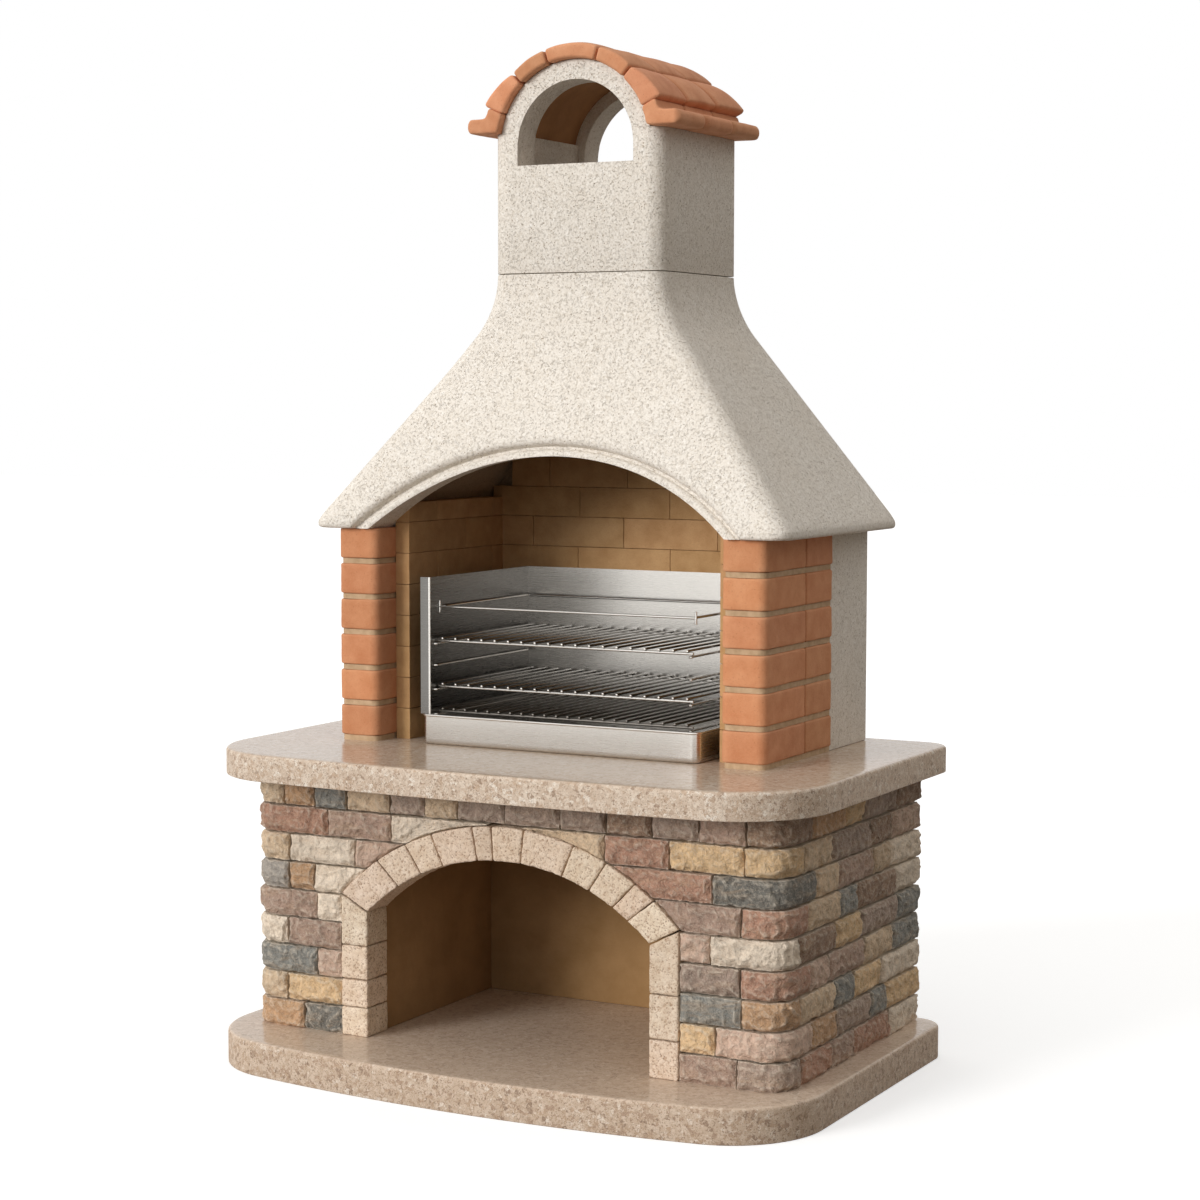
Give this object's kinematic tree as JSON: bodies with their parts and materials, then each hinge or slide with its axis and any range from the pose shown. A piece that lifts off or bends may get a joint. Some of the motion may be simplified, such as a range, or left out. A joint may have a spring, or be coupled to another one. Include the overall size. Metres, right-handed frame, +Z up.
{
  "type": "masonry barbecue",
  "caption": "free-standing masonry barbecue with a stone-clad base and wood niche, polished worktop, brick pillars, flared hood, tiled chimney and sliding steel fire insert",
  "frame": {"origin": "on the ground, under the middle of the overall box", "axes": "X to the right as seen from the front, Y from the front to the rear, Z up; the wood niche and the hood's mouth face -Y"},
  "size_m": [1.354, 0.902, 2.1098],
  "materials": {
    "worktop_terrazzo": "polished beige terrazzo with brown and cream chips",
    "base_terrazzo": "polished brown terrazzo",
    "split_stone": "rough split faces in mixed tan, cream, mauve, red-brown and slate tones",
    "arch_sandstone": "sawn pitted sandstone",
    "niche_concrete": "smooth cast concrete, tan-brown",
    "terracotta_brick": "matte fired clay",
    "mortar": "rough light tan mortar",
    "cast_concrete": "off-white cast concrete with a fine grain",
    "firebrick": "matte tan firebrick",
    "vault_clay": "matte brown clay",
    "terracotta_tile": "matte fired clay",
    "stainless_sheet": "satin stainless sheet",
    "stainless_wire": "bright drawn stainless wire",
    "charcoal_steel": "darker steel wire"
  },
  "bodies": {
    "masonry": {"arch_voussoirs": "arch_sandstone", "base_slab": "base_terrazzo", "chimney_front_arch": "cast_concrete", "chimney_rear_arch": "cast_concrete", "chimney_stack": "cast_concrete", "front_lintel": "niche_concrete", "front_roof_tiles": "terracotta_tile", "hood": "cast_concrete", "left_base_core": "niche_concrete", "left_chamber_wall": "cast_concrete", "left_corner_stones": "split_stone", "left_eave_tiles": "terracotta_tile", "left_front_stones": "split_stone", "left_jamb_blocks": "arch_sandstone", "left_lining": "firebrick", "left_pillar_course_1": "terracotta_brick", "left_pillar_course_2": "terracotta_brick", "left_pillar_course_3": "terracotta_brick", "left_pillar_course_4": "terracotta_brick", "left_pillar_course_5": "terracotta_brick", "left_pillar_course_6": "terracotta_brick", "left_pillar_mortar": "mortar", "left_side_stones": "split_stone", "middle_roof_tiles": "terracotta_tile", "niche_back_panel": "niche_concrete", "rear_chamber_wall": "cast_concrete", "rear_lining": "firebrick", "rear_roof_tiles": "terracotta_tile", "right_base_core": "niche_concrete", "right_chamber_wall": "cast_concrete", "right_corner_stones": "split_stone", "right_eave_tiles": "terracotta_tile", "right_front_stones": "split_stone", "right_jamb_blocks": "arch_sandstone", "right_lining": "firebrick", "right_pillar_course_1": "terracotta_brick", "right_pillar_course_2": "terracotta_brick", "right_pillar_course_3": "terracotta_brick", "right_pillar_course_4": "terracotta_brick", "right_pillar_course_5": "terracotta_brick", "right_pillar_course_6": "terracotta_brick", "right_pillar_mortar": "mortar", "right_side_stones": "split_stone", "roof_vault": "vault_clay", "spandrel_stones": "split_stone", "worktop_slab": "worktop_terrazzo"},
    "fire_insert": {"ash_pan": "stainless_sheet", "left_shield": "stainless_sheet", "right_shield": "stainless_sheet", "rear_shield": "stainless_sheet", "left_rails": "stainless_wire", "right_rails": "stainless_wire", "top_rail": "stainless_wire", "tie_rod": "stainless_wire"},
    "charcoal_shelf": {"charcoal_grate": "charcoal_steel"},
    "lower_shelf": {"lower_grate": "stainless_wire"},
    "upper_shelf": {"upper_grate": "stainless_wire"}
  },
  "joints": [
    {"name": "insert_slide", "type": "slide", "parent": "masonry", "child": "fire_insert", "axis": [0, -1, 0], "range_m": [0, 0.3]},
    {"name": "charcoal_shelf_slide", "type": "slide", "parent": "fire_insert", "child": "charcoal_shelf", "axis": [0, -1, 0], "range_m": [0, 0.3]},
    {"name": "lower_shelf_slide", "type": "slide", "parent": "fire_insert", "child": "lower_shelf", "axis": [0, -1, 0], "range_m": [0, 0.3]},
    {"name": "upper_shelf_slide", "type": "slide", "parent": "fire_insert", "child": "upper_shelf", "axis": [0, -1, 0], "range_m": [0, 0.3]}
  ]
}
